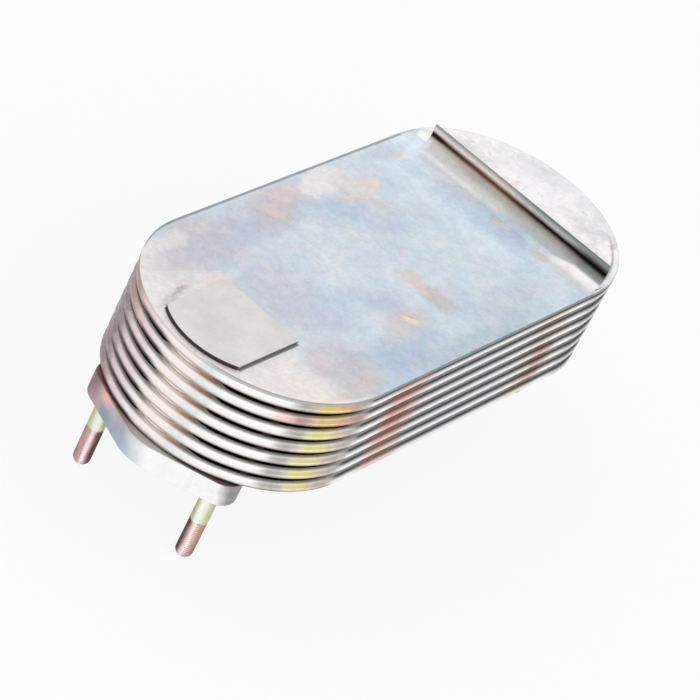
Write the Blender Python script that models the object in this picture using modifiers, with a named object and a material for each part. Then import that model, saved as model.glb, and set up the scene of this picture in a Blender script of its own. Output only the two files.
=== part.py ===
"""Plate oil cooler core: seven crimped oil elements on two flanged ports with mounting studs.

Metres, +Z up. The origin is the middle of the footprint, level with the stud tips. The core is
long in X, with its locating pad at the -X end and its deflector lip near the +X end.
"""
import math

import bmesh
import bpy

# Outline of the core
CORE_LENGTH = 0.354
CORE_WIDTH = 0.150

# Oil elements, counted from the top
ELEMENT_COUNT = 7
ELEMENT_HEIGHT = 0.0058
WATER_GAP = 0.00326
SHELL_SHEET = 0.0006
BASE_SHEET = 0.0006
RIM_RADIUS = 0.0026

# Folded fin sheets inside the elements
FIN_SHEET = 0.0003
FIN_PITCH = 0.0155
FIN_END_GAP = 0.003
FIN_SIDE_GAP = 0.003

# Oil ports
PORT_BORE = 0.026
RING_WALL = 0.006
PORT_LAND = 0.0009

# Cover plate with its upturned deflector lip
COVER_SHEET = 0.0012
LIP_SETBACK = 0.067
LIP_HEIGHT = 0.014
LIP_RADIUS = 0.012
LIP_FRONT_MARGIN = 0.0034
LIP_BACK_MARGIN = 0.0130
RELIEF_SLOT = 0.001

# Locating pad on the cover
PAD_SETBACK = 0.0035
PAD_LENGTH = 0.0585
PAD_WIDTH = 0.052
PAD_THICKNESS = 0.002
PAD_NOSE_RADIUS = 0.042

# Port flanges
FLANGE_THICKNESS = 0.014
FLANGE_RADIUS = 0.0276
EAR_RADIUS = 0.0125
FLANGE_CHAMFER = 0.0008
BORE_CHAMFER = 0.0015

# Mounting studs
STUD_DIAMETER = 0.008
STUD_SPACING = 0.077
STUD_REACH = 0.046
STUD_SEAT = 0.011
STUD_CHAMFER = 0.0012

# Clearance between pieces that seat on each other
FIT_GAP = 0.0003

# Facets
ARC_SEGMENTS = 16
RIM_SEGMENTS = 2
BEND_SEGMENTS = 6
TURNED_SEGMENTS = 16
CUT_MARGIN = 0.002

# Levels and places worked out from the sizes above
PITCH = ELEMENT_HEIGHT + WATER_GAP
CORE_RADIUS = CORE_WIDTH / 2
END_ARC_X = CORE_LENGTH / 2 - CORE_RADIUS
RIM = min(RIM_RADIUS, 0.48 * ELEMENT_HEIGHT)
HEM_RADIUS = RIM - SHELL_SHEET
RING_RADIUS = PORT_BORE / 2 + RING_WALL
PORT_X = CORE_LENGTH / 2 - RIM - PORT_LAND - RING_RADIUS
FLANGE_TOP = STUD_REACH + FLANGE_THICKNESS
CORE_BOTTOM = FLANGE_TOP + FIT_GAP
CORE_TOP = CORE_BOTTOM + ELEMENT_COUNT * PITCH - WATER_GAP
COVER_TOP = CORE_TOP + FIT_GAP + COVER_SHEET
LIP_FACE_X = CORE_LENGTH / 2 - LIP_SETBACK
LIP_BACK_X = LIP_FACE_X + COVER_SHEET

# Height of a base plate above the bottom of its element: it rests on the curl of the hem
HEM_TURN = math.radians(90 / RIM_SEGMENTS)
BASE_RISE = RIM - HEM_RADIUS * math.cos(HEM_TURN) + FIT_GAP
BASE_RADIUS = CORE_RADIUS - RIM + HEM_RADIUS * math.sin(HEM_TURN) - FIT_GAP


def element_bottom(number):
    """Lowest level of an oil element, where element 1 is the top one."""
    return CORE_BOTTOM + (ELEMENT_COUNT - number) * PITCH


def clear_scene():
    for item in list(bpy.data.objects):
        bpy.data.objects.remove(item)


def collection(name):
    group = bpy.data.collections.new(name)
    bpy.context.scene.collection.children.link(group)
    return group


def metal(name, colour, roughness):
    """Plated steel as a Principled material."""
    material = bpy.data.materials.new(name)
    material.use_nodes = True
    shader = material.node_tree.nodes["Principled BSDF"]
    shader.inputs["Base Color"].default_value = (*colour, 1)
    shader.inputs["Roughness"].default_value = roughness
    shader.inputs["Metallic"].default_value = 1
    return material


def finish_mesh(bm, name):
    """Mesh of a bmesh, smooth over its round stretches and sharp at its corners."""
    mesh = bpy.data.meshes.new(name)
    bm.to_mesh(mesh)
    bm.free()
    mesh.shade_smooth()
    mesh.set_sharp_from_angle(angle=math.radians(35))
    return mesh


def place(mesh, name, group, location=(0, 0, 0)):
    item = bpy.data.objects.new(name, mesh)
    item.location = location
    group.objects.link(item)
    return item


def cut(target, cutter, operation="DIFFERENCE"):
    modifier = target.modifiers.new(f"{operation.lower()}_{cutter.name}", "BOOLEAN")
    modifier.operation = operation
    modifier.solver = "EXACT"
    modifier.object = cutter


def hide_cutter(item):
    item.hide_render = True
    item.display_type = "WIRE"
    return item


def stadium(radius):
    """Counter-clockwise outline with full round ends about the core's end centres."""
    points = []
    for side in (1, -1):
        for step in range(ARC_SEGMENTS + 1):
            turn = math.pi * (step / ARC_SEGMENTS - 0.5)
            points.append((side * (END_ARC_X + radius * math.cos(turn)), side * radius * math.sin(turn)))
    return points


def keep_side(points, limit, side):
    """Part of a convex outline on one side of the line x = limit, +1 for beyond it."""
    kept = []
    for (x0, y0), (x1, y1) in zip(points, points[1:] + points[:1]):
        if side * (x0 - limit) >= 0:
            kept.append((x0, y0))
        if (x0 - limit) * (x1 - limit) < 0:
            share = (limit - x0) / (x1 - x0)
            kept.append((limit, y0 + share * (y1 - y0)))
    return kept


def prism(points, bottom, top):
    """Upright solid between two levels over a flat outline."""
    bm = bmesh.new()
    base = bm.faces.new([bm.verts.new((x, y, bottom)) for x, y in points])
    grown = bmesh.ops.extrude_face_region(bm, geom=[base])
    raised = [item for item in grown["geom"] if isinstance(item, bmesh.types.BMVert)]
    bmesh.ops.translate(bm, verts=raised, vec=(0, 0, top - bottom))
    bmesh.ops.recalc_face_normals(bm, faces=bm.faces)
    return bm


def turned(profile, name, segments=TURNED_SEGMENTS):
    """Turned piece about Z: the profile is (radius, height) from the top down its outer side."""
    mesh = bpy.data.meshes.new(name)
    verts = [(radius, 0, height) for radius, height in profile]
    edges = [(index, index + 1) for index in range(len(verts) - 1)]
    if profile[0][0] > 0:
        edges.append((len(verts) - 1, 0))
    mesh.from_pydata(verts, edges, [])
    item = bpy.data.objects.new(name, mesh)
    screw = item.modifiers.new("turn", "SCREW")
    screw.axis = "Z"
    screw.steps = segments
    screw.render_steps = segments
    screw.use_merge_vertices = True
    screw.merge_threshold = 0.00001
    screw.use_smooth_shade = True
    return item


def build_port_cutters(cutters):
    """Straight bores through the whole stack of shells and base plates."""
    found = []
    for side, word in ((-1, "near"), (1, "far")):
        half = (CORE_TOP - CORE_BOTTOM) / 2 + CUT_MARGIN
        bm = bmesh.new()
        bmesh.ops.create_cone(bm, cap_ends=True, segments=TURNED_SEGMENTS, radius1=PORT_BORE / 2,
                              radius2=PORT_BORE / 2, depth=2 * half)
        middle = (CORE_TOP + CORE_BOTTOM) / 2
        item = place(finish_mesh(bm, f"{word}_port_cut"), f"{word}_port_cut", cutters,
                     (side * PORT_X, 0, middle))
        found.append(hide_cutter(item))
    return found


def build_shells(group, ports, finish):
    """Pressed shells: a flat top, a rolled rim and a hem curled under the base plate."""
    bm = prism(stadium(CORE_RADIUS), 0, ELEMENT_HEIGHT)
    rims = [edge for edge in bm.edges if abs(edge.verts[0].co.z - edge.verts[1].co.z) < 1e-6]
    bmesh.ops.bevel(bm, geom=rims, offset=RIM, offset_type="OFFSET", segments=RIM_SEGMENTS,
                    profile=0.5, affect="EDGES")
    floor = min(bm.faces, key=lambda face: face.calc_center_median().z)
    bmesh.ops.delete(bm, geom=[floor], context="FACES")
    mesh = finish_mesh(bm, "element_shell")
    mesh.materials.append(finish)
    for number in range(1, ELEMENT_COUNT + 1):
        item = place(mesh, f"element_{number}_shell", group, (0, 0, element_bottom(number)))
        wall = item.modifiers.new("sheet", "SOLIDIFY")
        wall.thickness = SHELL_SHEET
        wall.offset = -1
        wall.use_even_offset = True
        for port in ports:
            cut(item, port)


def build_bases(group, ports, finish):
    """Flat base plates held in the shells' hems."""
    bm = prism(stadium(BASE_RADIUS), 0, BASE_SHEET)
    mesh = finish_mesh(bm, "element_base")
    mesh.materials.append(finish)
    for number in range(1, ELEMENT_COUNT + 1):
        item = place(mesh, f"element_{number}_base", group,
                     (0, 0, element_bottom(number) + BASE_RISE))
        for port in ports:
            cut(item, port)


def fin_section(width, height):
    """Trapezoid waves across the core as (y, z) points of the sheet's middle."""
    count = max(2, int(width / FIN_PITCH))
    wave = width / count
    points = []
    for number in range(count):
        start = -width / 2 + number * wave
        for share, level in ((0.0, 0.0), (0.3, 0.0), (0.5, 1.0), (0.8, 1.0)):
            points.append((start + share * wave, level * height))
    points.append((width / 2, 0.0))
    return points


def build_turbulators(group, finish):
    """Folded fin sheets that stir the oil between a base plate and its shell."""
    level = BASE_RISE + BASE_SHEET + FIT_GAP + FIN_SHEET / 2
    height = ELEMENT_HEIGHT - SHELL_SHEET - FIT_GAP - FIN_SHEET / 2 - level
    half_length = PORT_X - RING_RADIUS - FIN_END_GAP
    inset = max(0.0, half_length - END_ARC_X)
    half_width = math.sqrt(BASE_RADIUS ** 2 - inset ** 2) - FIN_SIDE_GAP
    bm = bmesh.new()
    rows = [[bm.verts.new((x, y, z)) for y, z in fin_section(2 * half_width, height)]
            for x in (-half_length, half_length)]
    for index in range(len(rows[0]) - 1):
        bm.faces.new((rows[0][index], rows[1][index], rows[1][index + 1], rows[0][index + 1]))
    mesh = finish_mesh(bm, "element_turbulator")
    mesh.materials.append(finish)
    for number in range(1, ELEMENT_COUNT + 1):
        item = place(mesh, f"element_{number}_turbulator", group,
                     (0, 0, element_bottom(number) + level))
        sheet = item.modifiers.new("sheet", "SOLIDIFY")
        sheet.thickness = FIN_SHEET
        sheet.offset = 0
        sheet.use_even_offset = True


def build_rings(group, finish):
    """Spacer rings that join the elements' ports and hold the water gaps open."""
    height = WATER_GAP + BASE_RISE - 2 * FIT_GAP
    bore = PORT_BORE / 2
    profile = [(bore, height), (RING_RADIUS, height), (RING_RADIUS, 0), (bore, 0)]
    for side, word in ((-1, "near"), (1, "far")):
        for number in range(1, ELEMENT_COUNT):
            item = turned(profile, f"{word}_port_ring_{number}")
            top_below = element_bottom(number + 1) + ELEMENT_HEIGHT
            item.location = (side * PORT_X, 0, top_below + FIT_GAP)
            item.data.materials.append(finish)
            group.objects.link(item)


def cover_outline(bend_start, lip_front, lip_back):
    """Flat part of the cover: the core's outline up to the lip, with a relief slot at each lip end."""
    root = bend_start - RELIEF_SLOT
    slots = [(LIP_BACK_X, lip_front - RELIEF_SLOT), (root, lip_front - RELIEF_SLOT), (root, lip_front),
             (bend_start, lip_front), (bend_start, lip_back), (root, lip_back),
             (root, lip_back + RELIEF_SLOT), (LIP_BACK_X, lip_back + RELIEF_SLOT)]
    kept = keep_side(stadium(CORE_RADIUS), LIP_BACK_X, -1)
    lowest = min(range(len(kept)), key=lambda index: (-kept[index][0], kept[index][1]))
    return kept[:lowest + 1] + slots + kept[lowest + 1:]


def edge_y(x):
    """Half width of the core's outline at a place along it."""
    inset = max(0.0, abs(x) - END_ARC_X)
    return math.sqrt(CORE_RADIUS ** 2 - inset ** 2)


def build_cover(group, finish):
    """Cover sheet over most of the top element, its far end swept up into a deflector lip."""
    bend_start = LIP_FACE_X - LIP_RADIUS
    lip_front = LIP_FRONT_MARGIN - edge_y(LIP_BACK_X)
    lip_back = edge_y(LIP_BACK_X) - LIP_BACK_MARGIN
    bm = bmesh.new()
    flat = [bm.verts.new((x, y, 0)) for x, y in cover_outline(bend_start, lip_front, lip_back)]
    bm.faces.new(flat)
    row = [next(vert for vert in flat if abs(vert.co.x - bend_start) < 1e-6
                and abs(vert.co.y - end) < 1e-6) for end in (lip_front, lip_back)]
    profile = []
    for step in range(1, BEND_SEGMENTS + 1):
        turn = math.radians(90) * step / BEND_SEGMENTS
        profile.append((bend_start + LIP_RADIUS * math.sin(turn), LIP_RADIUS * (1 - math.cos(turn))))
    profile.append((LIP_FACE_X, LIP_HEIGHT))
    for x, z in profile:
        raised = [bm.verts.new((x, vert.co.y, z)) for vert in row]
        bm.faces.new((row[0], raised[0], raised[1], row[1]))
        row = raised
    mesh = finish_mesh(bm, "cover_plate")
    mesh.materials.append(finish)
    item = place(mesh, "cover_plate", group, (0, 0, COVER_TOP))
    sheet = item.modifiers.new("sheet", "SOLIDIFY")
    sheet.thickness = COVER_SHEET
    sheet.offset = -1
    sheet.use_even_offset = True


def build_end_plate(group, finish):
    """Round-ended plate that carries on the cover's level behind the lip."""
    outline = keep_side(stadium(CORE_RADIUS), LIP_BACK_X + FIT_GAP, 1)
    bm = prism(outline, COVER_TOP - COVER_SHEET, COVER_TOP)
    mesh = finish_mesh(bm, "end_plate")
    mesh.materials.append(finish)
    place(mesh, "end_plate", group)


def build_pad(group, finish):
    """Flat pad over the near port, its nose rounded to follow the end of the core."""
    nose_x = PAD_SETBACK - CORE_LENGTH / 2
    half_angle = math.asin(PAD_WIDTH / 2 / PAD_NOSE_RADIUS)
    outline = [(nose_x + PAD_LENGTH, -PAD_WIDTH / 2), (nose_x + PAD_LENGTH, PAD_WIDTH / 2)]
    for step in range(ARC_SEGMENTS // 2 + 1):
        turn = half_angle * (1 - 4 * step / ARC_SEGMENTS)
        outline.append((nose_x + PAD_NOSE_RADIUS * (1 - math.cos(turn)),
                        PAD_NOSE_RADIUS * math.sin(turn)))
    bottom = COVER_TOP + FIT_GAP
    mesh = finish_mesh(prism(outline, bottom, bottom + PAD_THICKNESS), "locating_pad")
    mesh.materials.append(finish)
    place(mesh, "locating_pad", group)


def flange_outline():
    """Two-bolt outline: a middle round and two ear rounds joined by their common tangents."""
    reach = STUD_SPACING / 2
    tangent = math.acos((FLANGE_RADIUS - EAR_RADIUS) / reach)
    steps = ARC_SEGMENTS // 2
    points = []
    for side in (1, -1):
        for step in range(steps + 1):
            turn = tangent * (2 * step / steps - 1)
            points.append((-side * EAR_RADIUS * math.sin(turn),
                           side * (reach + EAR_RADIUS * math.cos(turn))))
        for step in range(steps + 1):
            turn = tangent + (math.pi - 2 * tangent) * step / steps
            points.append((-side * FLANGE_RADIUS * math.sin(turn), side * FLANGE_RADIUS * math.cos(turn)))
    return points


def build_flanges(group, cutters, finish):
    """Port flanges: chamfered plate, seating boss, oil bore and two stud sockets each."""
    boss_height = BASE_RISE
    bore = PORT_BORE / 2
    foot = -CUT_MARGIN
    bore_top = FLANGE_THICKNESS + boss_height + CUT_MARGIN
    bore_profile = [(0, bore_top), (bore, bore_top), (bore, BORE_CHAMFER),
                    (bore + BORE_CHAMFER - foot, foot), (0, foot)]
    for side, word in ((-1, "near"), (1, "far")):
        bm = prism(flange_outline(), 0, FLANGE_THICKNESS)
        mesh = finish_mesh(bm, f"{word}_flange")
        mesh.materials.append(finish)
        item = place(mesh, f"{word}_flange", group, (side * PORT_X, 0, STUD_REACH))
        chamfer = item.modifiers.new("chamfer", "BEVEL")
        chamfer.width = FLANGE_CHAMFER
        chamfer.segments = 1
        chamfer.limit_method = "ANGLE"
        chamfer.angle_limit = math.radians(60)
        half = (boss_height + CUT_MARGIN) / 2
        bm = bmesh.new()
        bmesh.ops.create_cone(bm, cap_ends=True, segments=TURNED_SEGMENTS, radius1=RING_RADIUS,
                              radius2=RING_RADIUS, depth=2 * half)
        boss = place(finish_mesh(bm, f"{word}_boss"), f"{word}_boss", cutters,
                     (side * PORT_X, 0, FLANGE_TOP + boss_height - half))
        cut(item, hide_cutter(boss), "UNION")
        hole = turned(bore_profile, f"{word}_flange_bore")
        hole.location = item.location
        cutters.objects.link(hide_cutter(hole))
        cut(item, hole)
        for hand, label in ((-1, "right"), (1, "left")):
            depth = STUD_SEAT + FIT_GAP + CUT_MARGIN
            bm = bmesh.new()
            bmesh.ops.create_cone(bm, cap_ends=True, segments=TURNED_SEGMENTS,
                                  radius1=STUD_DIAMETER / 2 + FIT_GAP,
                                  radius2=STUD_DIAMETER / 2 + FIT_GAP, depth=depth)
            socket = place(finish_mesh(bm, f"{word}_{label}_socket"), f"{word}_{label}_socket", cutters,
                           (side * PORT_X, hand * STUD_SPACING / 2,
                            STUD_REACH - CUT_MARGIN + depth / 2))
            cut(item, hide_cutter(socket))


def build_studs(group, finish):
    """Plain-bodied studs with chamfered ends, seated in the flanges' sockets."""
    radius = STUD_DIAMETER / 2
    length = STUD_REACH + STUD_SEAT
    profile = [(0, length), (radius - STUD_CHAMFER, length), (radius, length - STUD_CHAMFER),
               (radius, STUD_CHAMFER), (radius - STUD_CHAMFER, 0), (0, 0)]
    for side, word in ((-1, "near"), (1, "far")):
        for hand, label in ((-1, "right"), (1, "left")):
            item = turned(profile, f"{word}_stud_{label}")
            item.location = (side * PORT_X, hand * STUD_SPACING / 2, 0)
            item.data.materials.append(finish)
            group.objects.link(item)


def main():
    clear_scene()
    group = collection("oil_cooler")
    cutters = collection("cutters")
    ports = build_port_cutters(cutters)
    build_shells(group, ports, metal("shell_plating", (0.78, 0.74, 0.71), 0.28))
    build_bases(group, ports, metal("base_plating", (0.55, 0.52, 0.50), 0.35))
    build_turbulators(group, metal("fin_steel", (0.50, 0.48, 0.46), 0.40))
    build_rings(group, metal("ring_steel", (0.52, 0.50, 0.49), 0.38))
    build_cover(group, metal("cover_plating", (0.68, 0.74, 0.80), 0.30))
    build_end_plate(group, metal("end_plating", (0.78, 0.76, 0.77), 0.34))
    build_pad(group, metal("pad_plating", (0.70, 0.68, 0.66), 0.42))
    build_flanges(group, cutters, metal("flange_plating", (0.66, 0.68, 0.74), 0.32))
    build_studs(group, metal("stud_plating", (0.72, 0.55, 0.50), 0.30))


main()
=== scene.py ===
"""Looks of a plate oil cooler core: smooth pressed plates, threaded studs and iridescent plating.

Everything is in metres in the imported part's frame: +X runs from the locating pad to the deflector
lip, +Z from the studs up to the cover.
"""

import math

import bmesh
import bpy
from mathutils import Matrix, Vector


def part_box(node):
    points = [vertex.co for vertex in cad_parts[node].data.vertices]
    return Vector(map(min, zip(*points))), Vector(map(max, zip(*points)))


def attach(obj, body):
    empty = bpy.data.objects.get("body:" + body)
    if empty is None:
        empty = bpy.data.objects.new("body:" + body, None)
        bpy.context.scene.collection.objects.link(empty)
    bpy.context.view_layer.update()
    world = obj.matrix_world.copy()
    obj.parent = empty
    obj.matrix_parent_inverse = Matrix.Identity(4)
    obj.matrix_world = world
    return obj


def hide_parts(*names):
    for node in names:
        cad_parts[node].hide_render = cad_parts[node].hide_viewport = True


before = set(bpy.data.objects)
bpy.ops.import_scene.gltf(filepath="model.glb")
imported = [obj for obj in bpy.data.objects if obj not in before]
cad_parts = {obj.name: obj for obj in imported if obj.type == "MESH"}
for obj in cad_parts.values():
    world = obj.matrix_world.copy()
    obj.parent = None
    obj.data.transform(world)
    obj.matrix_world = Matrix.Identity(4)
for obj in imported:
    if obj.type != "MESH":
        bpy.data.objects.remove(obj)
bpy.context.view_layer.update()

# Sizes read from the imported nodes
TOP_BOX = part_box("element_1_shell")
ELEMENT_COUNT = 7
CORE_RADIUS = TOP_BOX[1].y
END_ARC_X = TOP_BOX[1].x - CORE_RADIUS
ELEMENT_HEIGHT = TOP_BOX[1].z - TOP_BOX[0].z
PITCH = TOP_BOX[0].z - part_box("element_2_shell")[0].z
CORE_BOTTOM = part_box("element_7_shell")[0].z
BASE_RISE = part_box("element_1_base")[0].z - TOP_BOX[0].z
BASE_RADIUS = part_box("element_1_base")[1].y
COVER_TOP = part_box("end_plate")[1].z
LIP_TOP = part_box("cover_plate")[1].z
LIP_RISE = LIP_TOP - COVER_TOP
LIP_BACK_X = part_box("cover_plate")[1].x
PAD_LOW, PAD_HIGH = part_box("locating_pad")
FLANGE_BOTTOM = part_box("near_flange")[0].z
FLANGE_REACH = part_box("near_flange")[1].y
PORT_X = (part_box("far_flange")[0].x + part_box("far_flange")[1].x) / 2
FLANGE_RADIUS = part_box("far_flange")[1].x - PORT_X
STUD_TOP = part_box("near_stud_left")[1].z

# Sizes of the sheets, bends, bores, edges and threads
RIM_RADIUS = 0.0026
HEM_ROUND = 0.0018
SHELL_SHEET = 0.0006
BASE_SHEET = 0.0006
PORT_RADIUS = 0.013
RING_RADIUS = 0.019
COVER_SHEET = 0.0012
COVER_EDGE_ROUND = 0.0002
SHEET_EDGE_ROUND = 0.0003
LIP_RADIUS = 0.012
LIP_RIGHT_MARGIN = 0.0030
LIP_LEFT_MARGIN = 0.0132
LIP_END_SLANT = 0.0015
RELIEF_SLOT = 0.0001
UNDER_LIP = 0.005
PAD_NOSE_RADIUS = 0.042
PAD_CORNER_RUN = 0.009
FLANGE_THICKNESS = 0.014
FLANGE_EDGE_ROUND = 0.0008
BORE_CHAMFER = 0.0015
EAR_RADIUS = 0.0125
STUD_Y = FLANGE_REACH - EAR_RADIUS
STUD_RADIUS = 0.005
THREAD_PITCH = 0.00125
THREAD_DEPTH = 0.0005
THREAD_END = 0.0255
THREAD_RUNOUT = 0.0015
SHANK_RISE = 0.002
HEAD_CHAMFER = 0.0012
TIP_DOME = 0.0045
TIP_FLAT = 0.3
FIT_GAP = 0.0003
# How far a tool stands past what it cuts or joins, and the error allowed in a place
TOOL_MARGIN = 0.002
SAME_PLACE = 1e-6

# Smoothness
ARC_STEPS = 72
ROUND_STEPS = 64
RIM_STEPS = 9
LIP_STEPS = 24
PAD_STEPS = 32
FLANGE_STEPS = 28
STUD_STEPS = 40
ROWS_PER_THREAD = 8
SHARP_ANGLE = 35

# The photograph's view: a long lens, tilted over to its right
CAMERA_PLACE = Vector((-1.52701, -0.67508, 1.15936))
CAMERA_AIM = Vector((-0.08921, -0.04236, 0.12196))
CAMERA_ROLL = 27.006
CAMERA_LENS = 188.245

# The side of a stud that carries its painted highlight
FACING_TURN = math.radians(204)

# Half the floor's width, how white it shows to the camera and in mirrors, and the world's strength
FLOOR_HALF = 30
FLOOR_SEEN = 0.88
FLOOR_MIRRORED = 0.85
WORLD_LIGHT = 0.9


def linear(red, green, blue):
    """Shader colour of a colour given as it looks on a screen, 0 to 255."""
    values = []
    for level in (red, green, blue):
        share = level / 255
        values.append(share / 12.92 if share <= 0.04045 else ((share + 0.055) / 1.055) ** 2.4)
    return (*values, 1.0)


# Node helpers


def feed(tree, socket, value):
    """Link a socket or set a plain value."""
    if isinstance(value, bpy.types.NodeSocket):
        tree.links.new(value, socket)
    else:
        socket.default_value = value


def maths(tree, operation, first, second=0.0, third=0.0):
    node = tree.nodes.new("ShaderNodeMath")
    node.operation = operation
    for socket, value in zip(node.inputs, (first, second, third)):
        feed(tree, socket, value)
    return node.outputs[0]


def times(tree, first, second):
    return maths(tree, "MULTIPLY", first, second)


def minus(tree, first, second):
    return maths(tree, "SUBTRACT", first, second)


def plus(tree, first, second):
    return maths(tree, "ADD", first, second)


def larger(tree, first, second):
    return maths(tree, "MAXIMUM", first, second)


def ease(tree, value, low, high, start=0.0, end=1.0):
    """Smooth step from start at low to end at high."""
    node = tree.nodes.new("ShaderNodeMapRange")
    node.interpolation_type = "SMOOTHSTEP"
    names = ("Value", "From Min", "From Max", "To Min", "To Max")
    for name, setting in zip(names, (value, low, high, start, end)):
        feed(tree, node.inputs[name], setting)
    return node.outputs[0]


def window(tree, value, middle, half, soft):
    """1 within half of middle, fading to 0 over soft on both sides."""
    away = maths(tree, "ABSOLUTE", minus(tree, value, middle))
    return ease(tree, minus(tree, away, half), 0.0, soft, 1.0, 0.0)


def blend(tree, amount, under, over, mode="MIX"):
    """Lay one colour over another. Each is a socket, or a colour as it looks on a screen."""
    node = tree.nodes.new("ShaderNodeMix")
    node.data_type = "RGBA"
    node.blend_type = mode
    feed(tree, node.inputs[0], amount)
    for number, colour in ((6, under), (7, over)):
        feed(tree, node.inputs[number], linear(*colour) if isinstance(colour, tuple) else colour)
    return node.outputs[2]


def vector_maths(tree, operation, first, second=(0, 0, 0), third=(0, 0, 0), scale=1.0):
    node = tree.nodes.new("ShaderNodeVectorMath")
    node.operation = operation
    for socket, value in zip(node.inputs, (first, second, third, scale)):
        feed(tree, socket, value)
    return node.outputs


def scaled(tree, colour, gain):
    return vector_maths(tree, "SCALE", colour, scale=gain)[0]


def noise(tree, place, scale, detail=4.0, roughness=0.55, colour=False, stretch=None):
    if stretch:
        shape = tree.nodes.new("ShaderNodeMapping")
        shape.inputs["Scale"].default_value = stretch
        feed(tree, shape.inputs["Vector"], place)
        place = shape.outputs[0]
    node = tree.nodes.new("ShaderNodeTexNoise")
    node.inputs["Scale"].default_value = scale
    node.inputs["Detail"].default_value = detail
    node.inputs["Roughness"].default_value = roughness
    feed(tree, node.inputs["Vector"], place)
    return node.outputs["Color" if colour else "Fac"]


def ramp(tree, value, stops):
    node = tree.nodes.new("ShaderNodeValToRGB")
    elements = node.color_ramp.elements
    while len(elements) < len(stops):
        elements.new(0.5)
    for element, (position, colour) in zip(elements, stops):
        element.position = position
        element.color = linear(*colour)
    feed(tree, node.inputs[0], value)
    return node.outputs[0]


def material(name):
    made = bpy.data.materials.new(name)
    made.use_nodes = True
    tree = made.node_tree
    place = tree.nodes.new("ShaderNodeTexCoord").outputs["Object"]
    return made, tree, tree.nodes["Principled BSDF"], place


def split(tree, place):
    node = tree.nodes.new("ShaderNodeSeparateXYZ")
    feed(tree, node.inputs[0], place)
    return node.outputs


def bump(tree, shader, height, strength, distance):
    node = tree.nodes.new("ShaderNodeBump")
    node.inputs["Strength"].default_value = strength
    node.inputs["Distance"].default_value = distance
    feed(tree, node.inputs["Height"], height)
    tree.links.new(node.outputs[0], shader.inputs["Normal"])


def warped(tree, place, scale, reach):
    """The place pushed about by noise, so that edges drawn on it wander."""
    steps = noise(tree, place, scale, 5.0, 0.6, colour=True)
    pushed = vector_maths(tree, "MULTIPLY_ADD", steps, (reach,) * 3, place)[0]
    return vector_maths(tree, "ADD", pushed, (-reach / 2,) * 3)[0]


def patch(tree, place, colour, tone, x, y, half_x, half_y, turn, soft, amount):
    """Lay one oval cloud of colour over what is there: sizes in millimetres, turn in degrees."""
    local = tree.nodes.new("ShaderNodeMapping")
    local.vector_type = "TEXTURE"
    local.inputs["Location"].default_value = (x / 1000, y / 1000, 0)
    local.inputs["Rotation"].default_value = (0, 0, math.radians(turn))
    local.inputs["Scale"].default_value = (half_x / 1000, half_y / 1000, 10)
    feed(tree, local.inputs["Vector"], place)
    size = vector_maths(tree, "LENGTH", local.outputs[0])["Value"]
    mask = ease(tree, size, 1 - soft, 1 + soft, amount, 0.0)
    return blend(tree, mask, colour, tone)


def clouds_over(tree, place, colour, entries):
    """Lay every cloud of a list. Each entry starts with the cloud's name."""
    for entry in entries:
        colour = patch(tree, place, colour, *entry[1:])
    return colour


def inset(tree, x, y):
    """Distance in from the core's outline."""
    past = larger(tree, minus(tree, maths(tree, "ABSOLUTE", x), END_ARC_X), 0.0)
    squares = plus(tree, times(tree, past, past), times(tree, y, y))
    return minus(tree, CORE_RADIUS, maths(tree, "SQRT", squares))


def along_edge(tree, x, y):
    """Way round the outline from the middle of the near end, positive on the -Y side."""
    wide = maths(tree, "ABSOLUTE", y)
    before = larger(tree, minus(tree, -END_ARC_X, x), 0.0)
    beyond = larger(tree, minus(tree, x, END_ARC_X), 0.0)
    first = times(tree, maths(tree, "ARCTAN2", wide, before), CORE_RADIUS)
    middle = maths(tree, "MINIMUM", larger(tree, plus(tree, x, END_ARC_X), 0.0), 2 * END_ARC_X)
    last = times(tree, maths(tree, "ARCTAN2", beyond, wide), CORE_RADIUS)
    total = plus(tree, plus(tree, first, middle), last)
    return times(tree, total, maths(tree, "SIGN", times(tree, y, -1.0)))


# Plating


def plate_texture(tree, shader, place, colour, strength=0.1, grain=0.00003, chroma=0.25):
    """Fine mottling in tone and hue, and a slight unevenness of the surface."""
    fine = noise(tree, place, 420, 3.0, 0.6)
    coarse = noise(tree, place, 140, 5.0, 0.65)
    both = plus(tree, times(tree, fine, 0.4), times(tree, coarse, 0.6))
    hues = noise(tree, place, 95, 6.0, 0.7, colour=True)
    colour = blend(tree, chroma, colour, hues, "OVERLAY")
    shade = ease(tree, both, 0.25, 0.75, 1 - strength, 1 + strength)
    tree.links.new(scaled(tree, colour, shade), shader.inputs["Base Color"])
    bump(tree, shader, both, 0.35, grain)


def finish_shader(shader, metallic, roughness, specular=0.5):
    shader.inputs["Metallic"].default_value = metallic
    shader.inputs["Roughness"].default_value = roughness
    shader.inputs["Specular IOR Level"].default_value = specular


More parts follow.
